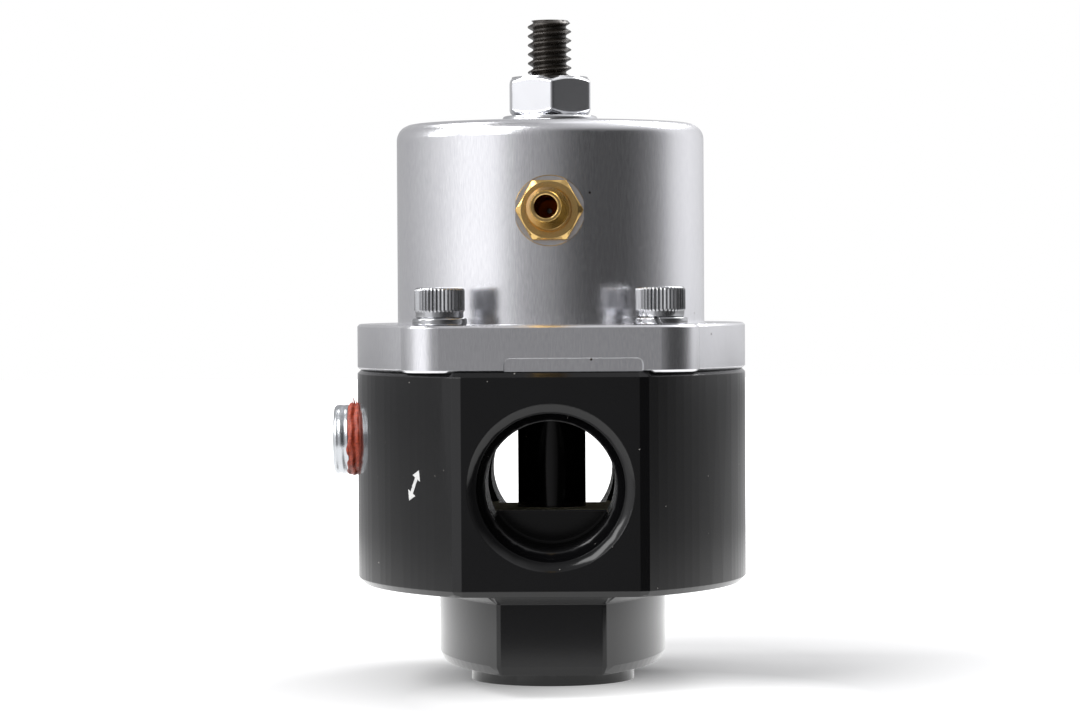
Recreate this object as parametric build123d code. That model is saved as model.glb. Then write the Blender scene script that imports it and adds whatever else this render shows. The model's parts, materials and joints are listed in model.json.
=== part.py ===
from build123d import *
import math
import os

# A bypass fuel pressure regulator, in millimetres. The origin is on its axis at the base, +Z is up,
# the front port faces -Y, the plugged gauge port -X, and the hose barb stands out along -Y.

# How far a cutter runs past the face that it opens
overcut = 1.0

# Body block: curved sides and flat port faces, with a narrower base block and a round land below
body_half_width = 27.16
body_half_depth = 30.5
side_radius = 39.1
body_height = 29.75
crease_chamfer = 0.7
body_top_chamfer = 0.6
body_bottom_chamfer = 0.8
base_half_width = 15.8
base_half_depth = 27.4
base_side_radius = 47.6
base_height = 10.65
base_crease_chamfer = 0.35
base_chamfer = 1.15
base_chamfer_run = 0.6
base_flare = 1.15
land_radius = 11.4
land_height = 3.2

# Front and back ports, straight thread with an O-ring seat, each bored flat towards the axis
port_rise = 14.5
port_thread_radius = 8.73
port_mouth_radius = 11.15
port_mouth_chamfer = 1.25
port_seat_depth = 1.95
port_seat_taper = 0.4
port_end_gap = 3.5375

# Return port under the base block
return_thread_radius = 6.45
return_mouth_radius = 8.0
return_seat_radius = 7.1
return_seat_depth = 2.4
return_depth = 11.0
return_passage_radius = 2.4

# Chamber round the central post
chamber_radius = 13.5
chamber_floor_rise = 10.3
chamber_flare = 3.5
post_radius = 4.7625

# Gauge port with its pipe plug
gauge_rise = 19.85
gauge_port_radius = 5.0
gauge_mouth_chamfer = 0.8
gauge_port_reach = 4.0
plug_clearance = 0.03
plug_length = 10.0
plug_stands_out = 3.45
plug_taper = 0.16
plug_end_chamfer = 0.5
plug_hex = 4.76
plug_hex_depth = 4.5
sealant_length = 2.0
sealant_thickness = 0.35

# Diaphragm and the valve stack that it carries
diaphragm_radius = 20.0
diaphragm_clearance = 0.05
diaphragm_thickness = 1.2
plate_radius = 12.0
lower_plate_thickness = 1.6
upper_plate_thickness = 1.5
hub_radius = 5.2
hub_length = 1.6
disc_radius = 3.7
disc_recess_depth = 1.1
disc_thickness = 1.35
disc_clearance = 0.03
stud_radius = 2.0
stud_clearance = 0.04
stud_proud = 0.8
stack_nut_flats = 7.94
stack_nut_height = 3.2
spring_cup_wall = 1.3
spring_cup_height = 1.2

# Valve seat pressed into the top of the post
seat_radius = 3.4
seat_bore_radius = 2.2
seat_depth = 4.5
seat_lip_height = 0.9
seat_lip_taper = 0.5
seat_gap = 0.03

# Main spring and its upper button, with the ball that the adjusting screw bears on
spring_mean_radius = 7.4
spring_wire = 2.0
spring_turns = 5.5
wire_sides = 6
chords_per_turn = 18
spring_side_clearance = 0.2
button_radius = 9.4
button_thickness = 2.5
button_spigot = 2.5
button_chamfer = 0.4
button_headroom = 4.2
ball_radius = 2.38
ball_clearance = 0.03
ball_standoff = 0.9
ball_seat_angle = 118

# Bonnet: a turned cup with its square flange in one piece
flange_half_depth = 29.7
flange_thickness = 6.25
flange_chamfer = 0.3
lobe_radius = 5.2
lobe_blend = 1.2
bonnet_radius = 21.5
bonnet_height = 27.8
bonnet_fillet = 2.2
bonnet_bore_radius = 17.5
bonnet_roof = 6.65
bore_chamfer = 1.5
relief_width = 18.4
relief_height = 1.9
relief_depth = 0.18
relief_offset = 3.1
relief_corner = 0.8

# Adjusting screw, its O-ring, washer and jam nut
screw_radius = 3.12
screw_clearance = 0.06
screw_tip_rise = 14.7
screw_tip_chamfer = 0.6
screw_hex = 3.175
screw_hex_depth = 3.5
o_ring_section = 0.8
o_ring_sides = 8
o_ring_clearance = 0.08
o_ring_groove_clearance = 0.1
washer_radius = 6.65
washer_thickness = 1.2
washer_clearance = 0.2
jam_nut_flats = 11.11
jam_nut_height = 5.45
jam_nut_chamfer = 0.55
jam_nut_chamfer_run = 1.1
jam_nut_turn = 33

# Cap screws and split lock washers at the flange corners
cap_inset = 12.41
cap_thread_radius = 2.08
cap_thread_clearance = 0.03
cap_length = 15.9
cap_hole_clearance = 0.2
cap_hole_spare = 1.2
cap_head_radius = 3.38
cap_head_height = 4.1
cap_head_chamfer = 0.35
cap_hex = 3.57
cap_hex_depth = 2.2
lock_washer_radius = 3.66
lock_washer_clearance = 0.12
lock_washer_thickness = 1.0
lock_washer_gap = 0.55
lock_washer_slant = 25
lock_washer_turns = {(-1, -1): 150, (1, -1): 264, (-1, 1): 35, (1, 1): 80}

# Hose barb on the bonnet, along its own axis
barb_rise = 15.35
barb_spotface_radius = 4.75
barb_spotface_depth = 0.5
barb_thread_radius = 2.4
barb_thread_length = 4.0
barb_thread_clearance = 0.03
barb_hex = 7.94
barb_hex_length = 5.0
barb_hex_chamfer = 0.37
barb_hex_chamfer_run = 0.75
barb_stem_radius = 2.1
barb_stem_length = 5.0
barb_crest_radius = 2.75
barb_tip_radius = 2.0
barb_ridge_length = 2.6
barb_tip_length = 5.4
barb_bore_radius = 1.52

# Places and heights that follow from the sizes above
port_end = post_radius + port_end_gap
body_base = land_height + base_height
body_top = body_base + body_height
port_axis = body_base + port_rise
gauge_axis = body_base + gauge_rise
chamber_floor = body_base + chamber_floor_rise
diaphragm_base = body_top - diaphragm_thickness
lower_plate_base = diaphragm_base - lower_plate_thickness
hub_base = lower_plate_base - hub_length
disc_base = hub_base + disc_recess_depth - disc_thickness
seat_top = disc_base - seat_gap
post_top = seat_top - seat_lip_height
seat_base = post_top - seat_depth
upper_plate_top = body_top + upper_plate_thickness
flange_top = body_top + flange_thickness
bonnet_top = flange_top + bonnet_height
bonnet_ceiling = bonnet_top - bonnet_roof
button_top = bonnet_ceiling - button_headroom
spring_top = button_top - button_thickness
spring_length = spring_top - upper_plate_top
ball_centre = button_top + ball_standoff
screw_base = ball_centre + ball_standoff
washer_top = bonnet_top + washer_thickness
screw_top = bonnet_top + screw_tip_rise
barb_axis = flange_top + barb_rise
spotface_y = -(bonnet_radius - barb_spotface_depth)
cap_x = body_half_width - cap_inset
cap_y = flange_half_depth - lobe_radius
cap_places = [(side, end) for side in (-1, 1) for end in (-1, 1)]


def tube_z(radius, low, high):
    """A cylinder about the axis from one height to another."""
    return Pos(0, 0, (low + high) / 2) * Cylinder(radius, high - low)


def turned(points):
    """A solid turned about Z from a closed outline of (radius, height) points."""
    return revolve(make_face(Polyline(*[(r, 0, z) for r, z in points], close=True)), Axis.Z)


def hex_prism(flats, low, high, turn=0):
    """A hexagonal bar about the axis, with a flat towards -Y when turn is 0."""
    outline = Rot(0, 0, turn) * RegularPolygon(flats / 2, 6, major_radius=False)
    return Pos(0, 0, low) * extrude(outline, high - low)


def side_outline(half_width, half_depth, radius):
    """The plan of body, flange and base block: two side arcs cut off by flat front and back faces."""
    offset = radius - half_width
    arcs = Pos(-offset, 0) * Circle(radius) & Pos(offset, 0) * Circle(radius)
    return arcs & Rectangle(2 * half_width, 2 * half_depth)


def threaded_port():
    """The space of the front port, turned about Z with its mouth at height zero and going down."""
    seat = port_mouth_radius - port_mouth_chamfer
    seat_end = seat - port_seat_taper
    chamfer_base = port_mouth_chamfer + port_seat_depth
    thread_start = chamfer_base + seat_end - port_thread_radius
    return turned(
        [
            (0, 0),
            (port_mouth_radius, 0),
            (seat, -port_mouth_chamfer),
            (seat_end, -chamfer_base),
            (port_thread_radius, -thread_start),
            (port_thread_radius, port_end - body_half_depth),
            (0, port_end - body_half_depth),
        ]
    )


def return_port():
    """The space of the return port, from the base up, with the passage that climbs the post."""
    thread_start = return_seat_depth + return_seat_radius - return_thread_radius
    return turned(
        [
            (0, 0),
            (return_mouth_radius, 0),
            (return_seat_radius, return_seat_depth),
            (return_thread_radius, thread_start),
            (return_thread_radius, return_depth),
            (return_passage_radius, return_depth),
            (return_passage_radius, seat_base),
            (seat_radius, seat_base),
            (seat_radius, post_top),
            (0, post_top),
        ]
    )


def chamber():
    """The space round the post, open at the top where the diaphragm lies in its recess."""
    recess = diaphragm_radius + diaphragm_clearance
    flare_radius = chamber_radius + chamber_flare
    outer = turned(
        [
            (0, chamber_floor),
            (chamber_radius, chamber_floor),
            (chamber_radius, diaphragm_base - chamber_flare),
            (flare_radius, diaphragm_base),
            (recess, diaphragm_base),
            (recess, body_top),
            (0, body_top),
        ]
    )
    return outer - tube_z(post_radius, chamber_floor, post_top)


def regulator_body():
    """The anodised lower housing, machined in one piece."""
    block = extrude(side_outline(body_half_width, body_half_depth, side_radius), body_height)
    block = chamfer(block.edges().filter_by(Axis.Z), crease_chamfer)
    block = chamfer(block.faces().sort_by(Axis.Z)[-1].edges(), body_top_chamfer)
    block = chamfer(block.faces().sort_by(Axis.Z)[0].edges(), body_bottom_chamfer)
    land = tube_z(land_radius, 0, land_height)
    body = Pos(0, 0, body_base) * block + base_block() + land
    front = Pos(0, -body_half_depth, port_axis) * Rot(90, 0, 0) * threaded_port()
    body -= front + mirror(front, Plane.XZ)
    body -= chamber() + return_port() + gauge_port()
    for side, end in cap_places:
        depth = cap_length - flange_thickness - lock_washer_thickness + cap_hole_spare
        hole = Cylinder(cap_thread_radius + cap_thread_clearance, depth)
        body -= Pos(side * cap_x, end * cap_y, body_top - depth / 2) * hole
    return body


def base_block():
    """The narrower block under the body, chamfered below and flared out to the body above."""
    plan = side_outline(base_half_width, base_half_depth, base_side_radius)
    base = extrude(plan, base_height)
    base = chamfer(base.edges().filter_by(Axis.Z), base_crease_chamfer)
    foot = base.faces().sort_by(Axis.Z)[0]
    base = chamfer(foot.edges(), base_chamfer_run, base_chamfer, reference=foot)
    wide = side_outline(
        base_half_width + base_flare, base_half_depth + base_flare, base_side_radius + base_flare
    )
    flare = extrude(wide, 2 * base_flare)
    flare = chamfer(flare.faces().sort_by(Axis.Z)[0].edges(), base_flare)
    return Pos(0, 0, land_height) * (base + Pos(0, 0, base_height - base_flare) * flare)


def gauge_port():
    """The space of the gauge port, from the left side into the chamber."""
    mouth = gauge_port_radius + gauge_mouth_chamfer
    depth = body_half_width - chamber_radius + gauge_port_reach
    space = turned(
        [
            (0, 0),
            (mouth, 0),
            (gauge_port_radius, -gauge_mouth_chamfer),
            (gauge_port_radius, -depth),
            (0, -depth),
        ]
    )
    return Pos(-body_half_width, 0, gauge_axis) * Rot(0, -90, 0) * space


def gauge_port_plug():
    """A tapered pipe plug with a hexagon socket, standing a little out of the gauge port."""
    base = gauge_port_radius - plug_clearance - plug_taper
    top = gauge_port_radius - plug_clearance
    outline = [
        (0, -plug_length),
        (base - plug_end_chamfer, -plug_length),
        (base, plug_end_chamfer - plug_length),
        (top, -plug_stands_out),
        (top, -plug_end_chamfer),
        (top - plug_end_chamfer, 0),
        (0, 0),
    ]
    plug = turned(outline) - hex_prism(plug_hex, -plug_hex_depth, 0)
    return Pos(-body_half_width - plug_stands_out, 0, gauge_axis) * Rot(0, -90, 0) * plug


def thread_sealant():
    """The ring of thread sealant squeezed out between the plug and the body."""
    inner = gauge_port_radius - plug_clearance
    outer = inner + sealant_thickness
    ring = Cylinder(outer, sealant_length) - Cylinder(inner, sealant_length)
    return Pos(-body_half_width - sealant_length / 2, 0, gauge_axis) * Rot(0, -90, 0) * ring


def valve_seat():
    """The seat bush pressed into the post, with its raised lip."""
    lip = seat_radius - seat_lip_taper
    return turned(
        [
            (seat_bore_radius, seat_base),
            (seat_radius, seat_base),
            (seat_radius, post_top),
            (lip, seat_top),
            (seat_bore_radius, seat_top),
        ]
    )


def valve_disc():
    """The sealing disc held in the lower plate's hub."""
    return tube_z(disc_radius, disc_base, disc_base + disc_thickness)


def lower_diaphragm_plate():
    """The plate under the diaphragm, with its hub and the stud that clamps the stack."""
    recess = disc_radius + disc_clearance
    recess_top = hub_base + disc_recess_depth
    stud_top = upper_plate_top + stack_nut_height + stud_proud
    return turned(
        [
            (0, recess_top),
            (recess, recess_top),
            (recess, hub_base),
            (hub_radius, hub_base),
            (hub_radius, lower_plate_base),
            (plate_radius, lower_plate_base),
            (plate_radius, diaphragm_base),
            (stud_radius, diaphragm_base),
            (stud_radius, stud_top),
            (0, stud_top),
        ]
    )


def diaphragm():
    """The reinforced rubber diaphragm, clamped at its rim between body and bonnet."""
    disc = tube_z(diaphragm_radius, diaphragm_base, body_top)
    return disc - tube_z(stud_radius + stud_clearance, diaphragm_base, body_top)


def upper_diaphragm_plate():
    """The plate above the diaphragm, with a low rim that centres the spring."""
    cup = spring_mean_radius + spring_wire / 2 + spring_side_clearance
    hole = stud_radius + stud_clearance
    return turned(
        [
            (hole, body_top),
            (plate_radius, body_top),
            (plate_radius, upper_plate_top),
            (cup + spring_cup_wall, upper_plate_top),
            (cup + spring_cup_wall, upper_plate_top + spring_cup_height),
            (cup, upper_plate_top + spring_cup_height),
            (cup, upper_plate_top),
            (hole, upper_plate_top),
        ]
    )


def diaphragm_nut():
    """The nut that clamps the plates and the diaphragm on the stud."""
    top = upper_plate_top + stack_nut_height
    nut = hex_prism(stack_nut_flats, upper_plate_top, top)
    return nut - tube_z(stud_radius + stud_clearance, upper_plate_top, top)


def main_spring():
    """The main compression spring, its turns in chords, its wire with few sides and its ends ground."""
    chords = round(spring_turns * chords_per_turn)
    rise = (spring_length - spring_wire) / chords
    angles = [math.tau * step / chords_per_turn for step in range(chords + 1)]
    path = Polyline(
        [
            (spring_mean_radius * math.cos(a), spring_mean_radius * math.sin(a), rise * step)
            for step, a in enumerate(angles)
        ]
    )
    wire = Plane(path @ 0, z_dir=path % 0) * RegularPolygon(spring_wire / 2, wire_sides)
    coil = sweep(wire, path, transition=Transition.RIGHT)
    coil = Pos(0, 0, upper_plate_top + spring_wire / 2) * coil
    return coil & tube_z(spring_mean_radius + spring_wire, upper_plate_top, spring_top)


def ball_seats():
    """The conical seats that the thrust ball lies in, cut out of button and screw alike."""
    reach = (ball_radius + ball_clearance) / math.sin(math.radians(ball_seat_angle / 2))
    spread = math.tan(math.radians(ball_seat_angle / 2))
    half = turned([(0, ball_centre), (reach * spread, ball_centre), (0, ball_centre + reach)])
    return half + mirror(half, Plane.XY.offset(ball_centre))


def spring_button():
    """The upper spring seat, with a spigot in the spring and a pocket for the ball."""
    spigot = spring_mean_radius - spring_wire / 2 - spring_side_clearance
    button = tube_z(button_radius, spring_top, button_top)
    button = chamfer(button.faces().sort_by(Axis.Z)[-1].edges(), button_chamfer)
    return button + tube_z(spigot, spring_top - button_spigot, spring_top) - ball_seats()


def thrust_ball():
    """The steel ball between the adjusting screw and the button."""
    return Pos(0, 0, ball_centre) * Sphere(ball_radius)


def adjusting_screw():
    """The set screw that loads the spring, without its fine thread."""
    screw = tube_z(screw_radius, screw_base, screw_top)
    screw = chamfer(screw.faces().sort_by(Axis.Z)[-1].edges(), screw_tip_chamfer)
    socket = hex_prism(screw_hex, screw_top - screw_hex_depth, screw_top)
    return screw - socket - ball_seats()


def screw_o_ring():
    """The O-ring that seals the screw in the top of the bonnet."""
    inner = screw_radius + o_ring_clearance
    middle = Pos(inner + o_ring_section, bonnet_top - o_ring_section)
    section = middle * RegularPolygon(o_ring_section, o_ring_sides, False, rotation=180 / o_ring_sides)
    return revolve(Plane.XZ * section, Axis.Z)


def flat_washer():
    """The washer under the jam nut."""
    ring = tube_z(washer_radius, bonnet_top, washer_top)
    return ring - tube_z(screw_radius + washer_clearance, bonnet_top, washer_top)


def jam_nut():
    """The jam nut, chamfered at both ends."""
    top = washer_top + jam_nut_height
    corner = jam_nut_flats / math.sqrt(3)
    drop = jam_nut_chamfer
    run = jam_nut_chamfer_run
    barrel = turned(
        [
            (0, washer_top),
            (corner - run, washer_top),
            (corner, washer_top + drop),
            (corner, top - drop),
            (corner - run, top),
            (0, top),
        ]
    )
    nut = hex_prism(jam_nut_flats, washer_top, top, jam_nut_turn) & barrel
    return nut - tube_z(screw_radius + screw_clearance, washer_top, top)


def bonnet():
    """The turned cup and its flange, in one piece, with its bore, roof thread and barb seat."""
    flange_outline = side_outline(body_half_width, flange_half_depth, side_radius)
    flange_outline += Rectangle(2 * cap_x, 2 * flange_half_depth)
    for side, end in cap_places:
        flange_outline += Pos(side * cap_x, end * cap_y) * Circle(lobe_radius)
    flange = extrude(flange_outline, flange_thickness)
    inner_corners = [
        edge
        for edge in flange.edges().filter_by(Axis.Z)
        if abs(edge.center().X) > cap_x + lobe_radius / 2
    ]
    flange = fillet(inner_corners, lobe_blend)
    flange = chamfer(flange.faces().sort_by(Axis.Z)[-1].edges(), flange_chamfer)
    flange = chamfer(flange.faces().sort_by(Axis.Z)[0].edges(), flange_chamfer)
    cup = tube_z(bonnet_radius, flange_top, bonnet_top)
    cup = fillet(cup.faces().sort_by(Axis.Z)[-1].edges(), bonnet_fillet)
    space = tube_z(bonnet_bore_radius, body_top, bonnet_ceiling)
    space = chamfer(space.faces().sort_by(Axis.Z)[-1].edges(), bore_chamfer)
    part = Pos(0, 0, body_top) * flange + cup - space
    part -= tube_z(screw_radius + screw_clearance, bonnet_ceiling, bonnet_top)
    groove = screw_radius + o_ring_clearance + 2 * o_ring_section + o_ring_groove_clearance
    part -= tube_z(groove, bonnet_top - 2 * o_ring_section, bonnet_top)
    for side, end in cap_places:
        hole = Cylinder(cap_thread_radius + cap_hole_clearance, flange_thickness)
        part -= Pos(side * cap_x, end * cap_y, body_top + flange_thickness / 2) * hole
    return part - barb_hole() - flange_relief()


def barb_hole():
    """The spot face and threaded hole for the hose barb in the bonnet's front."""
    spotface = Cylinder(barb_spotface_radius, 2 * barb_spotface_depth)
    wall = bonnet_radius - bonnet_bore_radius
    hole = Cylinder(barb_thread_radius + barb_thread_clearance, 2 * (wall + overcut))
    face = Pos(0, 0, barb_spotface_depth) * spotface + hole
    return Pos(0, spotface_y, barb_axis) * Rot(90, 0, 0) * face


def flange_relief():
    """The shallow relief milled into the lower edge of the flange's front face."""
    outline = RectangleRounded(relief_width, 2 * relief_height, relief_corner)
    pocket = extrude(outline, relief_depth)
    return Pos(relief_offset, -flange_half_depth + relief_depth, body_top) * Rot(90, 0, 0) * pocket


def cap_screw():
    """One socket head cap screw, standing on height zero under its head, without its thread."""
    head = Pos(0, 0, cap_head_height / 2) * Cylinder(cap_head_radius, cap_head_height)
    head = chamfer(head.faces().sort_by(Axis.Z)[-1].edges(), cap_head_chamfer)
    shank = Pos(0, 0, -cap_length / 2) * Cylinder(cap_thread_radius, cap_length)
    return head + shank - hex_prism(cap_hex, cap_head_height - cap_hex_depth, cap_head_height)


def cap_screws():
    """The flange's cap screws, as a group."""
    under_head = flange_top + lock_washer_thickness
    return Compound([Pos(s * cap_x, e * cap_y, under_head) * cap_screw() for s, e in cap_places])


def lock_washer(turn):
    """One split lock washer, standing on height zero, its slanted gap at the given angle."""
    inner = cap_thread_radius + lock_washer_clearance
    ring = Cylinder(lock_washer_radius, lock_washer_thickness) - Cylinder(inner, lock_washer_thickness)
    gap = Box(2 * lock_washer_radius, lock_washer_gap, lock_washer_thickness + 2 * overcut)
    gap = Pos(lock_washer_radius, 0, 0) * Rot(lock_washer_slant, 0, 0) * gap
    return Rot(0, 0, turn) * Pos(0, 0, lock_washer_thickness / 2) * (ring - gap)


def lock_washers():
    """The split washers under the cap screws, as a group."""
    return Compound(
        [Pos(s * cap_x, e * cap_y, flange_top) * lock_washer(lock_washer_turns[s, e]) for s, e in cap_places]
    )


def hose_barb():
    """The brass hose barb: thread, hexagon, stem and two ridges, bored through."""
    stem_end = barb_hex_length + barb_stem_length
    ridge_end = stem_end + barb_ridge_length
    tip = ridge_end + barb_tip_length
    corner = barb_hex / math.sqrt(3)
    barrel = turned(
        [
            (0, 0),
            (corner, 0),
            (corner, barb_hex_length - barb_hex_chamfer),
            (corner - barb_hex_chamfer_run, barb_hex_length),
            (0, barb_hex_length),
        ]
    )
    stem = turned(
        [
            (0, -barb_thread_length),
            (barb_thread_radius, -barb_thread_length),
            (barb_thread_radius, 0),
            (barb_stem_radius, 0),
            (barb_stem_radius, stem_end),
            (barb_crest_radius, stem_end),
            (barb_stem_radius, ridge_end),
            (barb_crest_radius, ridge_end),
            (barb_tip_radius, tip),
            (0, tip),
        ]
    )
    barb = (hex_prism(barb_hex, 0, barb_hex_length) & barrel) + stem
    barb -= tube_z(barb_bore_radius, -barb_thread_length, tip)
    return Pos(0, spotface_y, barb_axis) * Rot(90, 0, 0) * barb


def build():
    """Every sub-part by its node name."""
    return {
        "regulator_body": regulator_body(),
        "bonnet": bonnet(),
        "valve_seat": valve_seat(),
        "valve_disc": valve_disc(),
        "lower_diaphragm_plate": lower_diaphragm_plate(),
        "diaphragm": diaphragm(),
        "upper_diaphragm_plate": upper_diaphragm_plate(),
        "diaphragm_nut": diaphragm_nut(),
        "main_spring": main_spring(),
        "spring_button": spring_button(),
        "thrust_ball": thrust_ball(),
        "adjusting_screw": adjusting_screw(),
        "screw_o_ring": screw_o_ring(),
        "flat_washer": flat_washer(),
        "jam_nut": jam_nut(),
        "cap_screws": cap_screws(),
        "lock_washers": lock_washers(),
        "hose_barb": hose_barb(),
        "gauge_port_plug": gauge_port_plug(),
        "thread_sealant": thread_sealant(),
    }


os.makedirs("parts", exist_ok=True)
for node, shape in build().items():
    export_step(shape, f"parts/{node}.step")
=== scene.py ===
import json
import math

import bmesh
import bpy
import numpy as np
from mathutils import Matrix, Vector


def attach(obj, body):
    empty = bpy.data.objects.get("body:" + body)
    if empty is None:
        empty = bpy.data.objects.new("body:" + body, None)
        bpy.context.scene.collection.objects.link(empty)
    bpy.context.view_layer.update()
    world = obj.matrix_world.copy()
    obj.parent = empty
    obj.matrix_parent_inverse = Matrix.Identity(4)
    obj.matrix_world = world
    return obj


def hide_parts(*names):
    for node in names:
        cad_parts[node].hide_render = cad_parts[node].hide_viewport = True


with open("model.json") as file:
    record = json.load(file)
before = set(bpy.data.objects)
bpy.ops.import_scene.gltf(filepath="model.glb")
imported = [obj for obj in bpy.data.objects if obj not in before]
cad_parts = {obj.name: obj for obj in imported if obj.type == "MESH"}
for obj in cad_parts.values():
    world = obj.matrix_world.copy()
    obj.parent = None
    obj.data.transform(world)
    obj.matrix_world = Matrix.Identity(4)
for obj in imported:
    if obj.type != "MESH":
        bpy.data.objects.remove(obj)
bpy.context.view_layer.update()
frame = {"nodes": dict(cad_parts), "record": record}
nodes = frame["nodes"]

# All sizes below are in millimetres in the CAD frame, and reach Blender in metres
MM = 0.001

# Camera, fitted to the photograph: its place, where it looks across the picture, and its angles
image_width = 1080
focal_px = 3560.0
sensor_mm = 36.0
camera_place = (2.97, -500.0, 55.2)
aim_x_px = 551.3
pitch_down = 1.215
roll = -0.32

# Sizes repeated from the part's source
body_half_width = 27.16
body_half_depth = 30.5
side_radius = 39.1
flange_top = 49.85
bonnet_top = 77.65
gauge_axis = 33.7
cap_x, cap_y = 14.75, 24.5
barb_axis = 65.2
spotface_y = -21.0
washer_thickness = 1.2
lock_washer_thickness = 1.0
plug_pitch = 0.94
port_axis = 28.35
port_thread_radius = 8.73
port_pitch = 1.5875
chamber_floor_z = 24.15
chamber_reach = 14.0

# Points of a piece closer than the first become one, and edges shorter than the second go
merge_distance = 0.0004
sliver_length = 0.0002

# The room's brightness low down and high up by direction: 0 is towards the camera, 90 to the right
low_light = [
    (-180, 0.55), (-160, 0.46), (-131, 0.48), (-112, 0.58), (-98, 0.70), (-85, 0.84), (-74, 1.02),
    (-63, 1.15), (-42, 1.13), (-33, 0.72), (-24, 0.44), (-15, 0.34), (-6, 0.31), (3, 0.24), (12, 0.14),
    (21, 0.09), (30, 0.07), (55, 0.07), (65, 0.09), (76, 0.15), (88, 0.28), (96, 0.5), (106, 0.85),
    (124, 0.98), (148, 0.82), (180, 0.55),
]
high_light = [
    (-180, 0.55), (-102, 0.34), (-60, 0.5), (-20, 0.45), (20, 0.5), (54, 0.68), (100, 1.0), (132, 1.2),
    (160, 0.9), (180, 0.55),
]
low_light_below, high_light_above = 22, 66

# Lamps: direction as above, elevation, then distance, width and height in metres, and strength
lamps = {
    "back_right": (132, 46, 0.9, 0.5, 0.4, 5.0),
    "back_left": (-126, 54, 0.9, 0.3, 0.3, 3.5),
    "left": (-90, 36, 0.8, 0.16, 0.75, 4.0),
    "front_left": (-48, 36, 0.8, 0.35, 0.6, 4.0),
}
lamp_aim_height = 45.0
watts_per_square_metre = 4


class Shading:
    """The nodes of a material or the world, with a short way to add each kind that is used here."""

    def __init__(self, tree):
        self.nodes = tree.nodes
        self.links = tree.links

    def feed(self, socket, value):
        """A socket linked to another one, or set to a number, a vector or a colour."""
        if isinstance(value, bpy.types.NodeSocket):
            self.links.new(value, socket)
        elif socket.type == "RGBA":
            socket.default_value = (*value, 1)
        else:
            socket.default_value = value

    def add(self, kind, inputs, **settings):
        """A new node with its settings, and its inputs fed by name or number. Its outputs come back."""
        node = self.nodes.new(kind)
        for name, value in settings.items():
            setattr(node, name, value)
        for name, value in inputs.items():
            self.feed(node.inputs[name], value)
        return node.outputs

    def surface(self, values):
        """The Principled shader's sockets, fed by name."""
        for name, value in values.items():
            self.feed(self.nodes["Principled BSDF"].inputs[name], value)

    def place(self, scale=(1, 1, 1), offset=(0, 0, 0)):
        """Object coordinates in millimetres, scaled and moved."""
        inputs = {"Scale": [s / MM for s in scale], "Location": offset}
        inputs["Vector"] = self.add("ShaderNodeTexCoord", {})["Object"]
        return self.add("ShaderNodeMapping", inputs)["Vector"]

    def away_from(self, x, y):
        """The distance in millimetres from a point of the floor."""
        there = self.place(offset=(-x, -y, 0))
        return self.add("ShaderNodeVectorMath", {0: there}, operation="LENGTH")["Value"]

    def noise(self, scale, detail=3.0, roughness=0.55, stretch=(1, 1, 1)):
        """Noise over the surface, from 0 to 1."""
        inputs = {"Scale": scale, "Detail": detail, "Roughness": roughness, "Vector": self.place(stretch)}
        return self.add("ShaderNodeTexNoise", inputs)["Fac"]

    def compute(self, operation, *values):
        """A Math node on sockets or numbers."""
        return self.add("ShaderNodeMath", dict(enumerate(values)), operation=operation)["Value"]

    def spread(self, value, low, high, to_low, to_high, curve="LINEAR"):
        """A value stretched from one range to another, clamped."""
        inputs = {"Value": value, "From Min": low, "From Max": high, "To Min": to_low, "To Max": to_high}
        return self.add("ShaderNodeMapRange", inputs, interpolation_type=curve)["Result"]

    def vary(self, noise, to_low, to_high):
        """A number that follows noise, over the middle range where most of its values lie."""
        return self.spread(noise, 0.3, 0.7, to_low, to_high)

    def blend(self, factor, first, second, blend_type="MIX"):
        """Two colours mixed by a factor. Each may be a colour or a socket."""
        inputs = {"Factor": factor, "A": first, "B": second}
        return self.add("ShaderNodeMix", inputs, data_type="RGBA", blend_type=blend_type)["Result"]

    def specks(self, per_mm, size):
        """A mask of sparse small specks of dust, in the few cells whose lot is high."""
        least_lot = 0.86
        cells = self.add("ShaderNodeTexVoronoi", {"Scale": per_mm, "Vector": self.place()})
        lot = self.add("ShaderNodeSeparateColor", {"Color": cells["Color"]})["Red"]
        return self.compute("LESS_THAN", cells["Distance"], self.spread(lot, least_lot, 1.0, 0.0, size))

    def bump(self, height, distance_mm, strength=1.0, edge_mm=0.0):
        """Bump on the Principled shader, over softly rounded edges."""
        inputs = {"Strength": strength, "Distance": distance_mm * MM, "Height": height}
        if edge_mm:
            inputs["Normal"] = self.add("ShaderNodeBevel", {"Radius": edge_mm * MM}, samples=6)["Normal"]
        self.surface({"Normal": self.add("ShaderNodeBump", inputs)["Normal"]})

    def ramp(self, turn, stops):
        """A grey ramp over the directions from -180 to 180 degrees, a touch blue."""
        blueness = 1.02
        node = self.nodes.new("ShaderNodeValToRGB")
        elements = node.color_ramp.elements
        while len(elements) > 1:
            elements.remove(elements[-1])
        for k, (angle, value) in enumerate(stops):
            spot = (angle + 180) / 360
            element = elements[0] if k == 0 else elements.new(spot)
            element.position = spot
            element.color = (value, value, value * blueness, 1)
        self.feed(node.inputs["Fac"], turn)
        return node.outputs["Color"]


def material(name, even=None):
    """A new material and its shading. even holds the values that are the same all over it."""
    made = bpy.data.materials.new(name)
    made.use_nodes = True
    shading = Shading(made.node_tree)
    shading.surface(even or {})
    return made, shading


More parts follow.
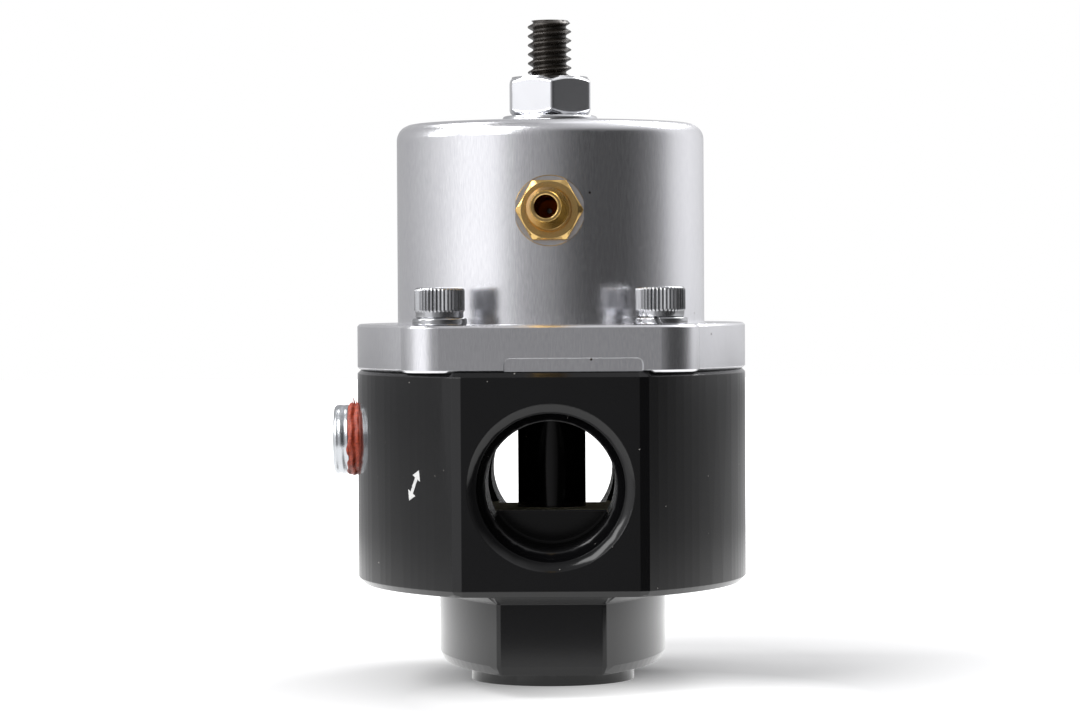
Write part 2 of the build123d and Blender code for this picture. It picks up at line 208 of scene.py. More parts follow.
def metal(name, colour, roughness, uneven=0.06, grain=(1, 1, 1)):
    """A bare or plated metal with a little grain and unevenness."""
    smoother, rougher = 0.85, 1.15
    made, shading = material(name, {"Metallic": 1.0})
    fine = shading.noise(6.0, 4, stretch=grain)
    dark = [c * (1 - uneven) for c in colour]
    light = [min(1.0, c * (1 + uneven)) for c in colour]
    shading.surface({"Base Color": shading.blend(shading.noise(0.35), dark, light)})
    shading.surface({"Roughness": shading.vary(fine, roughness * smoother, roughness * rougher)})
    shading.bump(fine, 0.0006, edge_mm=0.1)
    return made


def satin_silver():
    """Silver anodised aluminium, turned, with a fine upright grain and a few specks of dust."""
    made, shading = material("satin_silver_anodised", {"Metallic": 1.0, "Anisotropic": 0.55})
    tangent = shading.add("ShaderNodeTangent", {}, direction_type="RADIAL", axis="Z")["Tangent"]
    upright = shading.noise(7.0, 5, 0.6, (1, 1, 0.12))
    turned = shading.noise(3.2, 4, 0.65, (0.03, 0.03, 1))
    tone = shading.blend(shading.noise(0.12), (0.83, 0.83, 0.855), (0.89, 0.89, 0.91))
    grain = shading.blend(shading.vary(upright, 0, 1), (0.88, 0.88, 0.89), (1, 1, 1))
    grained = shading.blend(1.0, tone, grain, "MULTIPLY")
    dusty = shading.blend(shading.specks(0.55, 0.10), grained, (0.16, 0.13, 0.11))
    shading.surface({"Tangent": tangent, "Base Color": dusty})
    shading.surface({"Roughness": shading.vary(upright, 0.17, 0.24)})
    turned_share = 0.6
    both = shading.compute("MULTIPLY_ADD", turned, turned_share, upright)
    shading.bump(both, 0.0006, edge_mm=0.12)
    return made


def chamber_floor(shading):
    """A mask of the flat floor inside the housing, where the black is painted pale tan and loses its gloss:
    painted light.
    """
    near_enough = 0.05
    parts = shading.add("ShaderNodeSeparateXYZ", {"Vector": shading.place()})
    level = shading.compute("COMPARE", parts["Z"], chamber_floor_z, near_enough)
    across = shading.compute("ABSOLUTE", parts["X"])
    deep = shading.compute("ABSOLUTE", parts["Y"])
    reach = shading.compute("MAXIMUM", across, deep)
    return shading.compute("MULTIPLY", level, shading.compute("LESS_THAN", reach, chamber_reach))


def black_anodised():
    """Gloss black anodised aluminium over a fine blasted skin, with pale dust."""
    made, shading = material("gloss_black_anodised", {"IOR": 1.45})
    fine = shading.noise(5.0, 4, 0.6)
    base = shading.blend(shading.noise(0.1), (0.003, 0.003, 0.0034), (0.006, 0.006, 0.0066))
    dusty = shading.blend(shading.specks(0.85, 0.085), base, (0.42, 0.4, 0.37))
    inside = chamber_floor(shading)
    # Painted light: the chamber floor is painted pale tan and without gloss, standing in for the light from
    # behind that falls on it
    shading.surface({"Base Color": shading.blend(inside, dusty, (0.8, 0.74, 0.56))})
    shading.surface({"Specular IOR Level": shading.spread(inside, 0, 1, 0.5, 0.0)})
    shading.surface({"Roughness": shading.vary(fine, 0.11, 0.17)})
    shading.bump(fine, 0.0005, edge_mm=0.12)
    return made


def turned_brass():
    """Machined brass with turned rings about the barb's axis."""
    made, shading = material("turned_brass", {"Metallic": 1.0, "Specular Tint": (0.86, 0.6, 0.26)})
    about_axis = shading.place(offset=(0, 0, -barb_axis))
    inputs = {"Scale": 1.6, "Distortion": 0.6, "Detail": 3, "Vector": about_axis}
    rings = shading.add("ShaderNodeTexWave", inputs, wave_type="RINGS", rings_direction="Y")["Fac"]
    shading.surface({"Base Color": shading.blend(shading.noise(0.5), (0.62, 0.40, 0.14), (0.78, 0.54, 0.23))})
    shading.surface({"Roughness": shading.spread(rings, 0, 1, 0.16, 0.26)})
    shading.bump(rings, 0.002, edge_mm=0.08)
    return made


def black_oxide():
    """Oil-black steel, warm brown where the light catches it."""
    made, shading = material("black_oxide_steel", {"Metallic": 0.6, "IOR": 1.8})
    fine = shading.noise(4.0, 4)
    shading.surface({"Base Color": shading.blend(fine, (0.022, 0.018, 0.014), (0.05, 0.042, 0.034))})
    shading.surface({"Roughness": shading.vary(fine, 0.22, 0.34)})
    shading.bump(fine, 0.002, edge_mm=0.05)
    return made


def sealant_red():
    """Dried thread sealant, brick red and uneven."""
    soft = {"Subsurface Weight": 0.06, "Subsurface Radius": (0.0006, 0.0002, 0.0001)}
    made, shading = material("red_sealant", soft)
    fine = shading.noise(2.2, 5, 0.65)
    patches = shading.spread(fine, 0.35, 0.65, 0, 1)
    shading.surface({"Base Color": shading.blend(patches, (0.24, 0.024, 0.012), (0.60, 0.09, 0.035))})
    shading.surface({"Roughness": shading.vary(fine, 0.3, 0.5)})
    shading.bump(fine, 0.12, 0.8)
    return made


def rubber():
    """Matt black rubber."""
    made, shading = material("matt_rubber")
    fine = shading.noise(6.0, 4)
    shading.surface({"Base Color": shading.blend(fine, (0.018, 0.018, 0.018), (0.032, 0.032, 0.031))})
    shading.surface({"Roughness": shading.vary(fine, 0.55, 0.7)})
    shading.bump(fine, 0.01)
    return made


def white_ink():
    """Flat white ink, slightly worn."""
    made, shading = material("white_ink", {"Roughness": 0.5})
    cover = shading.spread(shading.noise(3.0, 4), 0.3, 0.45, 0, 1)
    shading.surface({"Base Color": shading.blend(cover, (0.5, 0.5, 0.5), (0.8, 0.8, 0.79))})
    return made


# The look of each material slot in the record
materials = {
    "silver_anodised": satin_silver(),
    "black_anodised": black_anodised(),
    "zinc_plated": metal("bright_zinc", (0.76, 0.765, 0.785), 0.16),
    "stainless": metal("ground_steel", (0.60, 0.60, 0.60), 0.25, grain=(1, 1, 0.2)),
    "spring_steel": metal("spring_wire", (0.42, 0.42, 0.43), 0.28),
    "black_oxide": black_oxide(),
    "brass": turned_brass(),
    "rubber": rubber(),
    "red_sealant": sealant_red(),
}

# Looks of single pieces that differ a little from their slot's
plated_steel = metal("plated_steel", (0.47, 0.475, 0.49), 0.19, 0.1)
dull_zinc = metal("dull_zinc", (0.58, 0.6, 0.625), 0.24, 0.12)


class Skin:
    """The points and faces of a piece in the making, in millimetres."""

    def __init__(self):
        self.verts = []
        self.faces = []

    def bridge(self, rings, closed=False):
        """Rings of equal length joined one to the next, the last also to the first if closed."""
        first, count = len(self.verts), len(rings[0])
        for outline in rings:
            self.verts += outline
        for k in range(len(rings) if closed else len(rings) - 1):
            low = first + k * count
            high = first + (k + 1) % len(rings) * count
            for j in range(count):
                after = (j + 1) % count
                self.faces.append((low + j, low + after, high + after, high + j))

    def cap(self, outline):
        """A ring closed by a fan to its middle."""
        first, count = len(self.verts), len(outline)
        self.verts += [*outline, tuple(np.mean(outline, axis=0))]
        self.faces += [(first + j, first + (j + 1) % count, first + count) for j in range(count)]

    def hollow(self, rings):
        """Rings joined one to the next, with the last one closed."""
        self.bridge(rings)
        self.cap(rings[-1])

    def bar(self, rings):
        """Rings joined one to the next, with both ends closed."""
        self.hollow(rings)
        self.cap(rings[0])

    def join(self, other, matrix):
        """Another skin's points, moved by a matrix, and its faces."""
        first = len(self.verts)
        self.faces += [tuple(first + i for i in face) for face in other.faces]
        self.verts += other.placed(matrix).verts

    def placed(self, matrix):
        """The same faces on points moved by a 4 by 4 matrix."""
        moved = Skin()
        moved.verts = [tuple(matrix @ Vector(v)) for v in self.verts]
        moved.faces = self.faces
        return moved

    def mesh(self, name, drop_slivers=True):
        """A mesh in metres, its double points merged and its faces turned outwards."""
        made = bpy.data.meshes.new(name)
        made.from_pydata([[c * MM for c in v] for v in self.verts], [], self.faces)
        work = bmesh.new()
        work.from_mesh(made)
        bmesh.ops.remove_doubles(work, verts=work.verts, dist=merge_distance * MM)
        if drop_slivers:
            bmesh.ops.dissolve_degenerate(work, edges=work.edges, dist=sliver_length * MM)
        bmesh.ops.recalc_face_normals(work, faces=work.faces)
        work.to_mesh(made)
        work.free()
        return made


def linked(name, data):
    """A new object in the scene."""
    made = bpy.data.objects.new(name, data)
    bpy.context.scene.collection.objects.link(made)
    return made


def smooth(thing, sharp):
    """Smooth shading over edges below an angle in degrees, weighted by the faces' areas."""
    thing.data.shade_smooth()
    thing.data.set_sharp_from_angle(angle=math.radians(sharp))
    thing.modifiers.new("weighted_normals", "WEIGHTED_NORMAL").keep_sharp = True


def piece(name, skin, body, slot, replaced=(), sharp=38, look=None):
    """A piece from a skin in place in the CAD frame, riding on its body."""
    made = linked(name, skin.mesh(name))
    smooth(made, sharp)
    made.data.materials.append(look or materials[slot])
    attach(made, body)
    if replaced:
        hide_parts(*replaced)


def stand(place, degrees, axis):
    """A turn about an axis through the origin, then a move to a place."""
    return Matrix.Translation(place) @ Matrix.Rotation(math.radians(degrees), 4, axis)


def polar(radius, angle, z):
    """A point at a radius and an angle in radians about Z."""
    return (radius * math.cos(angle), radius * math.sin(angle), z)


def ring(radius, z, count):
    """A closed outline about Z. Radius and height may each hold one value for each point."""
    spots = zip(np.broadcast_to(radius, count), np.broadcast_to(z, count))
    return [polar(r, math.tau * j / count, height) for j, (r, height) in enumerate(spots)]


def hexagon(flats, count, corner=0.0):
    """The radius of a hexagon at each of count even angles, its corners rounded by a radius."""
    inner, half_side = flats / 2, math.radians(30)
    centre = (inner - corner) / math.cos(half_side)
    corner_from = (inner - corner) * math.tan(half_side)
    radii = []
    for j in range(count):
        off = abs(math.radians((360 * j / count + 30) % 60 - 30))
        radius = inner / math.cos(off)
        if corner and inner * math.tan(off) > corner_from:
            lean = half_side - off
            across = centre * math.sin(lean)
            radius = centre * math.cos(lean) + math.sqrt(max(0.0, corner**2 - across**2))
        radii.append(radius)
    return np.array(radii)


def thread_profile(depth, crest=0.05, root=0.10):
    """One turn of a thread as (phase, depth): crest, flank, root and flank, with softened corners."""
    flank = [(crest, 0.012), (crest + 0.04, 0.09 * depth), (0.45 - root, 0.9 * depth), (0.5 - root, depth)]
    return [(0.0, 0.0), *flank, *((1 - phase, sunk) for phase, sunk in reversed(flank))]


class Thread:
    """A right-hand thread about Z from low to high. radius_at(z, depth) gives its outside."""

    def __init__(self, profile, pitch, low, high, count, radius_at):
        self.phases, self.depths = zip(*profile)
        self.pitch = pitch
        self.low, self.high = low, high
        self.count = count
        self.radius_at = radius_at

    def point(self, z, turn):
        """A point of the thread at a height and a share of a turn."""
        phase = (z - self.low) / self.pitch + 1 - turn
        depth = np.interp(phase, self.phases, self.depths, period=1)
        return polar(self.radius_at(z, depth), math.tau * turn, z)

    def outline(self, z):
        """The closed outline of the thread at one height."""
        return [self.point(z, j / self.count) for j in range(self.count)]

    def wrap(self, skin):
        """The helical surface, added to a skin. Its rows climb, and each meets the row one turn up."""
        count, steps = self.count, len(self.phases)
        rows = (int(math.ceil((self.high - self.low) / self.pitch)) + 2) * steps
        first = len(skin.verts)
        for k in range(rows):
            for j in range(count):
                z = self.low + self.pitch * (k // steps - 1 + self.phases[k % steps] + j / count)
                skin.verts.append(self.point(min(max(z, self.low), self.high), j / count))
        for k in range(rows - 1):
            for j in range(count):
                here = first + k * count + j
                if j + 1 < count:
                    skin.faces.append((here, here + 1, here + 1 + count, here + count))
                elif k + 1 + steps < rows:
                    after = first + (k + steps) * count
                    skin.faces.append((here, after, after + count, here + count))


def adjusting_screw():
    """The adjusting screw with its rolled thread, chamfered tip and hexagon socket."""
    count, pitch, radius, thread_depth = 72, 1.27, 3.06, 0.72
    tip_radius, foot_radius = 2.55, 2.4
    socket_flats, socket_depth, cone_radius, cone_depth = 3.175, 3.5, 0.9, 0.4
    hollow_rim, hollow_end, hollow_depth = 1.9, 0.6, 0.7
    low, high = bonnet_top - 8.55, bonnet_top + 14.58

    def radius_at(z, depth):
        """The thread cut off by a chamfer at each end."""
        return min(radius - depth, tip_radius + high - z, foot_radius + z - low)

    thread = Thread(thread_profile(thread_depth), pitch, low, high, count, radius_at)
    hexed = hexagon(socket_flats, count)
    socket_floor = high - socket_depth
    socket = [thread.outline(high), ring(1.02 * hexed + 0.12, high, count), ring(hexed, high - 0.1, count)]
    socket += [ring(hexed, socket_floor, count), ring(cone_radius, socket_floor - cone_depth, count)]
    foot = [thread.outline(low), ring(hollow_rim, low, count), ring(hollow_end, low + hollow_depth, count)]
    skin = Skin()
    thread.wrap(skin)
    skin.hollow(socket)
    skin.hollow(foot)
    piece("adjusting_screw_threaded", skin, "adjuster", "black_oxide", ["adjusting_screw"])


def jam_nut():
    """The jam nut: a hexagon with worn corners, chamfered at both ends, and a threaded bore."""
    count, flats, height, corner_radius = 216, 11.11, 5.45, 0.55
    chamfer_run, chamfer_drop = 1.1, 0.6
    bore, bore_rim_below, bore_rim_above = 3.18, 3.55, 3.75
    turned_by = 3
    low = bonnet_top + washer_thickness
    high = low + height
    face_radius = flats / math.sqrt(3) - chamfer_run - 0.02
    radii = hexagon(flats, count, corner_radius)
    drop = np.clip((radii - face_radius) / chamfer_run, 0, None) * chamfer_drop
    # Along the chamfer's lower edge, as (height, inset)
    worn_edge = [(0.08, 0.22), (0.22, 0.07), (0.4, 0.0)]
    rings = [ring(bore, low, count), ring(bore_rim_below, low, count), ring(face_radius, low, count)]
    rings += [ring(radii - inset, low + rise + drop, count) for rise, inset in worn_edge]
    rings += [ring(radii - inset, high - rise - drop, count) for rise, inset in reversed(worn_edge)]
    rings += [ring(face_radius, high, count), ring(bore_rim_above, high, count)]
    rings += [ring(bore + 0.02, high - 0.5, count), ring(bore, low + 0.4, count)]
    skin = Skin()
    skin.bridge(rings, closed=True)
    skin = skin.placed(stand((0, 0, 0), turned_by, "Z"))
    piece("jam_nut_plated", skin, "jam_nut", "zinc_plated", ["jam_nut"], 50)


def flat_washer():
    """The stamped washer with its edges softly rounded."""
    count, low, high = 128, bonnet_top, bonnet_top + washer_thickness
    # The section's outline from the bore's lower edge, as (radius, height)
    outline = [(3.36, low), (6.45, low), (6.6, low + 0.12), (6.65, low + 0.3)]
    outline += [(6.65, high - 0.42), (6.6, high - 0.2), (6.48, high - 0.07), (6.3, high)]
    outline += [(3.6, high), (3.42, high - 0.06), (3.36, high - 0.2)]
    skin = Skin()
    skin.bridge([ring(r, z, count) for r, z in outline], closed=True)
    piece("flat_washer_stamped", skin, "washer", "zinc_plated", ["flat_washer"])


def cap_screw():
    """One knurled socket head cap screw, standing on height zero under its head."""
    ridges, points_per_ridge, knurl_depth = 40, 6, 0.2
    shank_radius, shank_end, top = 2.08, -15.9, 4.1
    socket_flats, socket_floor, cone_radius, cone_end = 3.57, 1.9, 1.0, 1.6
    count = ridges * points_per_ridge
    wave = 0.5 - 0.5 * np.cos(math.tau * np.arange(count) / points_per_ridge)
    socket = hexagon(socket_flats, count)
    # The head's outline upwards, as (radius, height, share of the knurl)
    head = [
        (shank_radius, 0.0, 0.0), (3.0, 0.0, 0.0), (3.14, 0.06, 0.0), (3.2, 0.2, 0.0), (3.2, 0.72, 0.0),
        (3.24, 0.86, 0.15), (3.36, 1.0, 0.75), (3.38, 1.12, 1.0), (3.38, 3.6, 1.0), (3.33, 3.78, 0.7),
        (3.22, 3.93, 0.25), (3.08, 4.04, 0.0), (2.9, top, 0.0), (2.35, top, 0.0),
    ]
    rings = [ring(shank_radius, shank_end, count)]
    rings += [ring(r - knurl_depth * share * wave, z, count) for r, z, share in head]
    rings += [ring(socket + 0.1, top, count), ring(socket, top - 0.1, count)]
    rings += [ring(socket, socket_floor, count), ring(cone_radius, cone_end, count)]
    skin = Skin()
    skin.bar(rings)
    return skin


def cap_screws():
    """The four cap screws, each turned its own way."""
    screw, skin = cap_screw(), Skin()
    for (side, end), turn in {(-1, -1): 11, (1, -1): 47, (-1, 1): 23, (1, 1): 5}.items():
        place = (side * cap_x, end * cap_y, flange_top + lock_washer_thickness)
        skin.join(screw, stand(place, turn, "Z"))
    piece("cap_screws_knurled", skin, "housing", "zinc_plated", ["cap_screws"], 42, plated_steel)


def lock_washer():
    """One split lock washer: a rounded bar bent round, its ends cut on a slant beside angle 0."""
    inner, outer, mean, edge_radius = 2.2, 3.66, 3.0, 0.26
    gap, slant, steps, slanted_steps, edge_steps = 0.55, -25, 72, 8, 4
    section = []
    for k, (r, z) in enumerate(((outer, 0), (outer, 1), (inner, 1), (inner, 0))):
        centre_r = r - edge_radius if r == outer else r + edge_radius
        centre_z = lock_washer_thickness - edge_radius if z else edge_radius
        for step in range(edge_steps + 1):
            angle = math.radians(90 * (k - 1 + step / edge_steps))
            out, up = edge_radius * math.cos(angle), edge_radius * math.sin(angle)
            section.append((centre_r + out, centre_z + up))
    rings = []
    for k in range(steps + 1):
        along = (gap / 2 + (math.tau * mean - gap) * k / steps) / mean
        slanted = 1 - min(k, steps - k, slanted_steps) / slanted_steps
        lean = slanted * math.tan(math.radians(slant)) / mean
        rings.append([polar(r, along + lean * (z - lock_washer_thickness / 2), z) for r, z in section])
    skin = Skin()
    skin.bar(rings)
    return skin


def lock_washers():
    """The split washers under the cap screws, their gaps turned as they came to rest."""
    washer, skin = lock_washer(), Skin()
    for (side, end), turn in {(-1, -1): 150, (1, -1): 264, (-1, 1): 35, (1, 1): 80}.items():
        skin.join(washer, stand((side * cap_x, end * cap_y, flange_top), turn, "Z"))
    piece("lock_washers_split", skin, "housing", "zinc_plated", ["lock_washers"], 40, plated_steel)


def hose_barb():
    """The brass barb: hexagon with turned face, stem, two ridges and its bore."""
    count, flats, length = 144, 7.94, 5.0
    chamfer_run, chamfer_drop, bore, narrow_bore, shank = 0.75, 0.42, 1.52, 0.35, 2.4
    corner_radius, foot_edge = 0.12, 0.08
    # Along the edge under the turned face, as (depth, inset)
    worn_edge = [(0.14, 0.0), (0.04, 0.05)]
    # The stem leans as it does in the photograph, in millimetres over each one of its length
    lean_x, lean_y = -0.031, 0.014
    radii = hexagon(flats, count, corner_radius)
    face_radius = flats / math.sqrt(3) - chamfer_run
    drop = np.clip((radii - face_radius) / chamfer_run, 0, None) * chamfer_drop
    inside = [(bore, -2.2), (narrow_bore, -2.6), (narrow_bore, -4.0), (shank, -4.0), (shank, 0.0)]
    # From the turned face out to the mouth, as (radius, height)
    outside = [
        (face_radius - 0.02, length), (2.95, length), (2.9, length - 0.06), (2.62, length - 0.06),
        (2.56, length), (2.2, length), (2.1, length + 0.12),
        (2.1, 9.9), (2.2, 10.0), (2.70, 10.0), (2.75, 10.06), (2.73, 10.18),
        (2.1, 12.55), (2.2, 12.6), (2.70, 12.6), (2.75, 12.66), (2.73, 12.8),
        (2.08, 17.85), (1.98, 18.0), (1.66, 18.0), (bore, 17.88),
    ]
    rings = [ring(r, z, count) for r, z in inside]
    rings += [ring(radii - foot_edge, 0.0, count), ring(radii, foot_edge, count)]
    rings += [ring(radii - inset, length - deep - drop, count) for deep, inset in worn_edge]
    rings += [ring(r, z, count) for r, z in outside]
    skin = Skin()
    skin.bridge(rings, closed=True)
    skin = skin.placed(stand((0, 0, 0), 30, "Z"))
    beyond = [max(0, z - length) for _, _, z in skin.verts]
    skin.verts = [(x + lean_x * far, y + lean_y * far, z) for (x, y, z), far in zip(skin.verts, beyond)]
    skin = skin.placed(stand((0, spotface_y, barb_axis), 90, "X"))
    piece("hose_barb_turned", skin, "housing", "brass", ["hose_barb"], 32)


# The gauge port's mouth, with Z out along the plug's axis
gauge_port = stand((-body_half_width, 0, gauge_axis), -90, "Y")


def gauge_plug():
    """The tapered pipe plug: its thread, end chamfer and hexagon socket."""
    count, radius, taper, thread_depth = 108, 4.88, 0.024, 0.36
    low, high = -6.0, 3.3
    worn_from, worn_over, worn_least = 1.2, 0.5, 0.25
    end_radius, foot_radius = 4.5, 4.4
    socket_flats, socket_depth, cone_radius, cone_depth = 4.76, 4.5, 1.2, 0.5

    def radius_at(z, depth):
        """A slight taper, its thread worn down near the end, cut off by a chamfer at each end."""
        kept = min(1.0, max(worn_least, 1.0 - (z - worn_from) / worn_over))
        body = radius - taper * max(0.0, -z) - depth * kept
        return min(body, end_radius + high - z, foot_radius + z - low)

    thread = Thread(thread_profile(thread_depth, 0.06, 0.06), plug_pitch, low, high, count, radius_at)
    hexed = hexagon(socket_flats, count)
    socket_floor = high - socket_depth
    socket = [thread.outline(high), ring(hexed + 0.15, high, count), ring(hexed, high - 0.12, count)]
    socket += [ring(hexed, socket_floor, count), ring(cone_radius, socket_floor - cone_depth, count)]
    skin = Skin()
    thread.wrap(skin)
    skin.hollow(socket)
    skin.cap(thread.outline(low))
    skin = skin.placed(gauge_port)
    piece("gauge_plug_threaded", skin, "housing", "zinc_plated", ["gauge_port_plug"], look=dull_zinc)


def sealant():
    """The sealant squeezed out over the plug's thread, uneven, with shreds where it was wiped."""
    count, rows = 160, 29
    low, high, inner_radius, outer_radius = -0.7, 2.1, 4.3, 4.9
    edge_height, edge_swing, edge_fade, edge_drop = 1.55, 0.1, 0.35, 0.35
    bulge_height, bulge_swing, bulge_twist, groove_depth = 0.22, 0.07, 2.1, 0.2
    foot_radius = 5.75
    # Shreds, as (turn, reach, width, height)
    shreds = ((-0.012, 1.1, 0.2, 0.5), (0.012, 0.7, 0.15, 0.8), (0.03, 0.6, 0.2, 0.2))
    rng = np.random.default_rng(7)
    bumps = [(rng.integers(2, 14), rng.uniform(0, math.tau), rng.uniform(0.3, 1.0)) for _ in range(9)]

    def wobble(turn, shift):
        """An uneven value round the ring, from about -1 to 1."""
        waves = (a * math.sin(n * math.tau * turn + p + shift * (1 + k)) for k, (n, p, a) in enumerate(bumps))
        return sum(waves) / 3

    def radius_at(turn, z, share):
        """The sealant's outside: bulging, marked by the thread's grooves, and thin at its outer edge."""
        wave = 0.5 - 0.5 * math.cos(math.tau * (z / plug_pitch - turn))
        groove = groove_depth * wave * (0.6 + 0.4 * share)
        full = min(1.0, max(0.0, (edge_height + edge_swing * wobble(turn, 0.0) - z) / edge_fade))
        bulge = (bulge_height + bulge_swing * wobble(turn, bulge_twist * share)) * math.sqrt(full)
        radius = outer_radius + bulge - groove - edge_drop * (1 - full)
        return min(radius, foot_radius + z) if z < 0 else radius

    turns = np.arange(count) / count
    rings = []
    for k, z in enumerate(np.linspace(low, high, rows)):
        rings.append(ring([radius_at(turn, z, k / (rows - 1)) for turn in turns], z, count))
    skin = Skin()
    skin.bridge([*rings, ring(inner_radius, high, count), ring(inner_radius, low, count)], closed=True)
    for turn, reach, wide, z in shreds:
        shred(skin, turn, reach, wide, z)
    skin = skin.placed(gauge_port)
    piece("thread_sealant_dried", skin, "housing", "red_sealant", ["thread_sealant"], 60)


def shred(skin, turn, reach, wide, z):
    """A small ragged crumb of sealant that stands out from the ring."""
    steps, sides, root_radius = 6, 10, 4.8
    climb, sway, taper, flatness, tip = 0.15, 0.12, 0.6, 0.6, 0.03
    out = Vector(polar(1, math.tau * turn, 0))
    side, up = Vector((-out.y, out.x, 0)), Vector((0, 0, 1))
    section = [side * x + up * flatness * y for x, y, _ in ring(1, 0, sides)]
    rings = []
    for k in range(steps + 1):
        share = k / steps
        middle = out * (root_radius + reach * share) + up * (z + climb * share)
        middle += side * sway * math.sin(5 * share)
        size = wide * (1 - share) ** taper + tip
        rings.append([tuple(middle + size * spot) for spot in section])
    skin.bar(rings)


def port_tap():
    """The cutter for a port's thread, with Z out along the port's axis."""
    count, reach, start_depth, depth, crest_short = 96, 15.5, 4.2, 0.72, 0.12
    run_out_short, run_out_slope = 0.1, 0.6
    high = body_half_depth - start_depth
    low = high - reach
    crest = port_thread_radius + depth - crest_short

    def radius_at(z, sunk):
        """The thread's outside, which runs out at its inner end."""
        return min(crest - sunk, port_thread_radius - run_out_short + run_out_slope * (z - low))

    thread = Thread(thread_profile(depth, 0.06, 0.06), port_pitch, low, high, count, radius_at)
    skin = Skin()
    thread.wrap(skin)
    skin.cap(thread.outline(low))
    skin.cap(thread.outline(high))
    return skin


def tapped_body():
    """The housing as the CAD has it, with threads cut into its front and back ports."""
    # Rings round the ports that lie less deep in the photograph, as (radius, depth, new depth)
    shallower = ((9.9, 1.25, 0.75), (port_thread_radius, 3.97, 3.75))
    near_enough, sharp = 0.03, 9.2
    mesh = nodes["regulator_body"].data.copy()
    for vertex in mesh.vertices:
        x, y, z = vertex.co / MM
        radius, deep = math.hypot(x, z - port_axis), body_half_depth - abs(y)
        for ring_radius, depth, new_depth in shallower:
            if abs(radius - ring_radius) < near_enough and abs(deep - depth) < near_enough:
                vertex.co.y = math.copysign(body_half_depth - new_depth, y) * MM
    body = linked("regulator_body_tapped", mesh)
    body.matrix_world = nodes["regulator_body"].matrix_world.copy()
    tap, cutters = port_tap(), []
    for degrees in (90, -90):
        turned = tap.placed(stand((0, 0, port_axis), degrees, "X"))
        cutters.append(linked("tap", turned.mesh("tap", drop_slivers=False)))
        cut = body.modifiers.new("tap", "BOOLEAN")
        cut.operation = "DIFFERENCE"
        cut.solver = "EXACT"
        cut.object = cutters[-1]
    body.data = bpy.data.meshes.new_from_object(body.evaluated_get(bpy.context.evaluated_depsgraph_get()))
    body.modifiers.clear()
    for cutter in cutters:
        bpy.data.objects.remove(cutter)
    body.data.materials.clear()
    body.data.materials.append(materials["black_anodised"])
    smooth(body, sharp)
    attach(body, "housing")
    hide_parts("regulator_body")


def flow_mark():
    """A plain slanted double arrow in white ink on the curved side."""
    centre_angle, centre_z, lean = 0.687, 28.5, math.radians(118)
    half, tip, wide, thin = 1.1, 2.35, 0.9, 0.28
    proud, sunk, pieces = 0.02, -0.03, 6
    stations = [(-tip, 0.0), (-half, wide), (-half, thin), (half, thin), (half, wide), (tip, 0.0)]
    outline = []
    for start, end in zip(stations, stations[1:]):
        outline += [np.array(start) + np.subtract(end, start) * k / pieces for k in range(pieces)]
    outline.append(stations[-1])
    rings = []
    for along, half_width in outline:
        one = []
        for up, rise in ((-1, proud), (0, proud), (1, proud), (1, sunk), (0, sunk), (-1, sunk)):
            back = along * math.cos(lean) - up * half_width * math.sin(lean)
            height = along * math.sin(lean) + up * half_width * math.cos(lean)
            x, y, _ = polar(side_radius + rise, centre_angle - back / side_radius, 0)
            one.append((side_radius - body_half_width - x, -y, centre_z + height))
        rings.append(one)
    skin = Skin()
    skin.bar(rings)
    piece("flow_mark", skin, "housing", "silver_anodised", look=white_ink())


def floor():
    """A pale floor. The camera sees it lifted towards white, with the shadow left in, except in front of the
    object, where a painted pool of light lightens it.
    """
    half, front_edge = 1.6, -0.085
    mesh = bpy.data.meshes.new("floor")
    corners = [(-half, front_edge, 0), (half, front_edge, 0), (half, half, 0), (-half, half, 0)]
    mesh.from_pydata(corners, [], [(0, 1, 2, 3)])
    plane = linked("floor", mesh)
    made, shading = material("floor_white", {"Roughness": 0.7, "Specular IOR Level": 0.2})
    path = shading.add("ShaderNodeLightPath", {})
    seen = path["Is Camera Ray"]
    shading.surface({"Base Color": shading.blend(seen, (0.28, 0.28, 0.28), (0.75, 0.75, 0.75))})
    # Light added for what the object mirrors, near it
    near = shading.spread(shading.away_from(10, 10), 80, 300, 1.0, 0.05)
    mirrored = shading.compute("MULTIPLY", path["Is Glossy Ray"], near)
    # Light added for the camera: in front of the object, round about it and far off. The patch in front is a
    # painted pool of light over the object's shadow under its front
    front = shading.spread(shading.away_from(12, -24), 0, 32, 0.75, 0)
    # The lift round about and far off grows with distance from a point behind and to the right of the object,
    # so the floor stays darker near it there: painted shade beside the real shadow
    distance = shading.away_from(15, 20)
    round_about = shading.spread(distance, 25, 80, 0, 0.35)
    far = shading.spread(distance, 100, 450, 0, 0.8)
    lifted = shading.compute("ADD", shading.compute("ADD", front, round_about), far)
    strength = shading.compute("MULTIPLY_ADD", seen, lifted, mirrored)
    glow = shading.add("ShaderNodeEmission", {"Color": (1, 1, 1), "Strength": strength})["Emission"]
    plain = shading.nodes["Principled BSDF"].outputs["BSDF"]
    both = shading.add("ShaderNodeAddShader", {0: plain, 1: glow})["Shader"]
    shading.feed(shading.nodes["Material Output"].inputs["Surface"], both)
    mesh.materials.append(made)


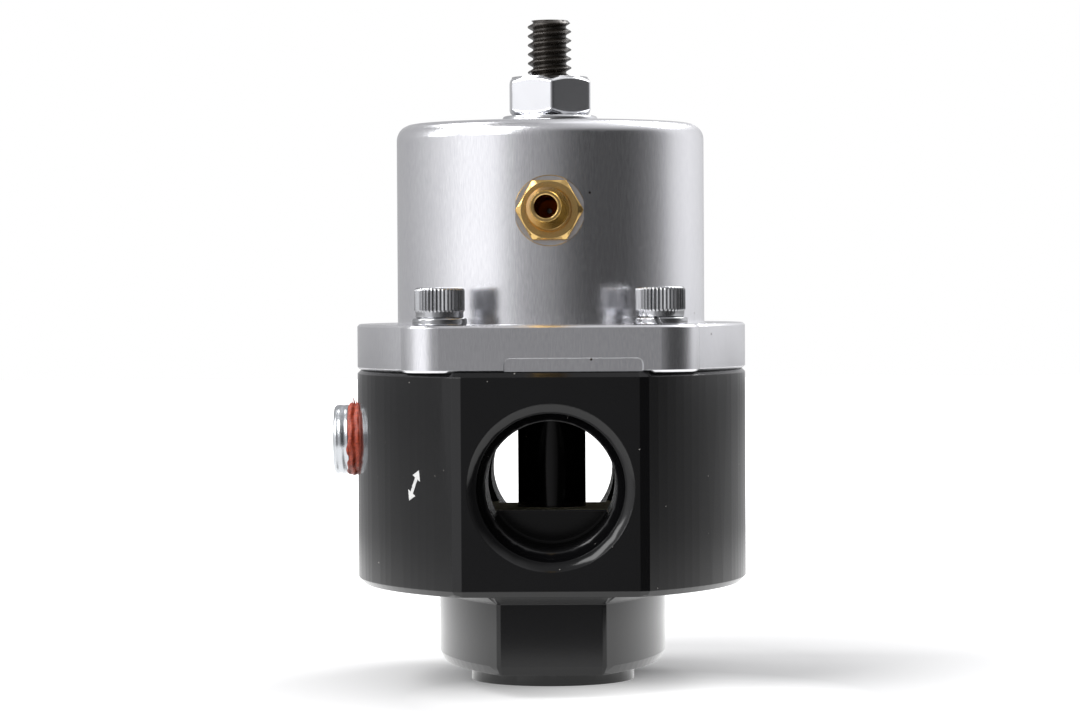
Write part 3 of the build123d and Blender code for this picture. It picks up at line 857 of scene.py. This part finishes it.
def room():
    """A world that the camera sees as white, and that lights the object with dark and bright walls."""
    world = bpy.data.worlds.new("studio_world")
    bpy.context.scene.world = world
    world.use_nodes = True
    world.node_tree.nodes.clear()
    shading = Shading(world.node_tree)
    place = shading.add("ShaderNodeTexCoord", {})["Generated"]
    parts = shading.add("ShaderNodeSeparateXYZ", {"Vector": place})
    direction = shading.compute("ARCTAN2", parts["X"], shading.compute("MULTIPLY", parts["Y"], -1))
    turn = shading.spread(direction, -math.pi, math.pi, 0, 1)
    low, high = (math.sin(math.radians(angle)) for angle in (low_light_below, high_light_above))
    rise = shading.spread(parts["Z"], low, high, 0, 1, "SMOOTHSTEP")
    walls = shading.blend(rise, shading.ramp(turn, low_light), shading.ramp(turn, high_light))
    lit = shading.add("ShaderNodeBackground", {"Color": walls})["Background"]
    white = shading.add("ShaderNodeBackground", {"Color": (1, 1, 1)})["Background"]
    seen = shading.add("ShaderNodeLightPath", {})["Is Camera Ray"]
    pick = shading.add("ShaderNodeMixShader", {"Fac": seen, 1: lit, 2: white})["Shader"]
    shading.add("ShaderNodeOutputWorld", {"Surface": pick})


def softbox(name, azimuth, elevation, distance, wide, tall, strength):
    """A soft lamp aimed at the middle of the object. Azimuth 0 is towards the camera, 90 to the right."""
    data = bpy.data.lights.new(name, "AREA")
    data.shape = "RECTANGLE"
    data.size = wide
    data.size_y = tall
    data.energy = strength * watts_per_square_metre * wide * tall
    side, rise = math.radians(azimuth), math.radians(elevation)
    out = Vector((math.sin(side) * math.cos(rise), -math.cos(side) * math.cos(rise), math.sin(rise)))
    facing = (-out).to_track_quat("-Z", "Y").to_matrix().to_4x4()
    target = Vector((0, 0, lamp_aim_height * MM))
    linked(name, data).matrix_world = Matrix.Translation(target + out * distance) @ facing


def camera():
    """The camera at the photograph's place and angle."""
    data = bpy.data.cameras.new("camera")
    data.sensor_width = sensor_mm
    data.lens = focal_px / image_width * sensor_mm
    data.clip_start = 0.01
    data.clip_end = 30
    x, y, _ = camera_place
    heading = math.atan2(-x, -y) - math.atan2(aim_x_px - image_width / 2, focal_px)
    pitch = math.radians(pitch_down)
    level = math.cos(pitch)
    forward = Vector((math.sin(heading) * level, math.cos(heading) * level, -math.sin(pitch)))
    facing = forward.to_track_quat("-Z", "Y").to_matrix().to_4x4()
    made = linked("camera", data)
    made.matrix_world = Matrix.Translation(Vector(camera_place) * MM) @ facing @ stand((0, 0, 0), roll, "Z")
    bpy.context.scene.camera = made


bpy.context.scene.view_settings.view_transform = "Standard"
floor()
room()
camera()
for name, settings in lamps.items():
    softbox(name, *settings)

for row in frame["record"]["subparts"]:
    node = nodes[row["node"]]
    node.data.materials.clear()
    node.data.materials.append(materials[row["material_slot"]])

adjusting_screw()
jam_nut()
flat_washer()
cap_screws()
lock_washers()
hose_barb()
gauge_plug()
sealant()
flow_mark()
tapped_body()
